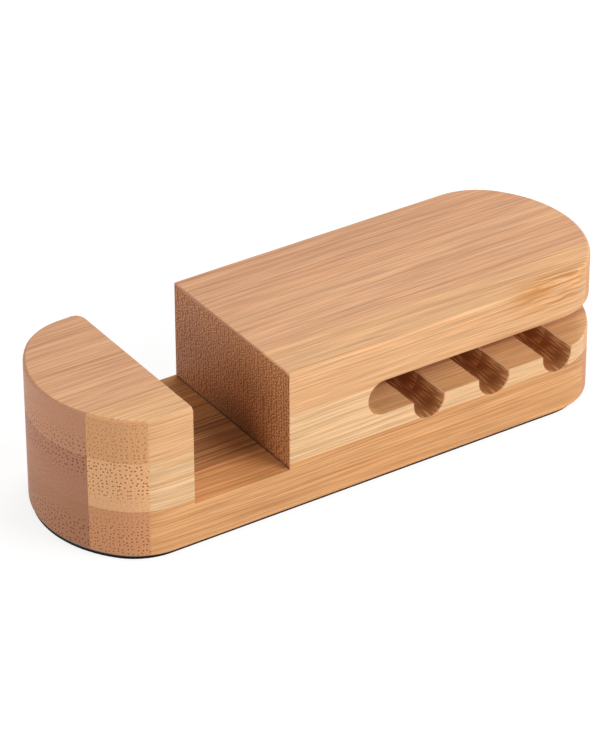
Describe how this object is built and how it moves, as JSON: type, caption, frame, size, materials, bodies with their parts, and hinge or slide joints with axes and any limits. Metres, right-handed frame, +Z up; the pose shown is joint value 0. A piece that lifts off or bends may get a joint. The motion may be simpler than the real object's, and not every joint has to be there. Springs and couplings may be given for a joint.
{
  "type": "desktop cable organizer",
  "caption": "Laminated bamboo block with round ends, a slot across it that stands a phone, and a long slit with round-bottomed grooves that hold charging cables.",
  "frame": {"origin": "on the desk, under the middle of the block", "axes": "+X along the block from the phone slot towards the cable grooves, -Y the front, +Z up"},
  "size_m": [0.12, 0.0408, 0.0307],
  "materials": {
    "bamboo_base_ply": "sanded, thin satin lacquer",
    "bamboo_middle_ply": "sanded, thin satin lacquer",
    "bamboo_top_ply": "sanded, thin satin lacquer",
    "black_foam_rubber": "matt, fine grain"
  },
  "bodies": {
    "root": {"base_ply_front_strip": "bamboo_base_ply", "base_ply_middle_strip": "bamboo_base_ply", "base_ply_back_strip": "bamboo_base_ply", "middle_ply_lip_front_strip": "bamboo_middle_ply", "middle_ply_lip_middle_strip": "bamboo_middle_ply", "middle_ply_lip_back_strip": "bamboo_middle_ply", "middle_ply_block_front_strip": "bamboo_middle_ply", "middle_ply_block_middle_strip": "bamboo_middle_ply", "middle_ply_block_back_strip": "bamboo_middle_ply", "middle_ply_divider_1_front_strip": "bamboo_middle_ply", "middle_ply_divider_1_middle_strip": "bamboo_middle_ply", "middle_ply_divider_1_back_strip": "bamboo_middle_ply", "middle_ply_divider_2_front_strip": "bamboo_middle_ply", "middle_ply_divider_2_middle_strip": "bamboo_middle_ply", "middle_ply_divider_2_back_strip": "bamboo_middle_ply", "middle_ply_divider_3_front_strip": "bamboo_middle_ply", "middle_ply_divider_3_middle_strip": "bamboo_middle_ply", "middle_ply_divider_3_back_strip": "bamboo_middle_ply", "top_ply_lip_front_strip": "bamboo_top_ply", "top_ply_lip_middle_strip": "bamboo_top_ply", "top_ply_lip_back_strip": "bamboo_top_ply", "top_ply_block_front_strip": "bamboo_top_ply", "top_ply_block_middle_strip": "bamboo_top_ply", "top_ply_block_back_strip": "bamboo_top_ply", "non_slip_pad": "black_foam_rubber"}
  },
  "joints": []
}
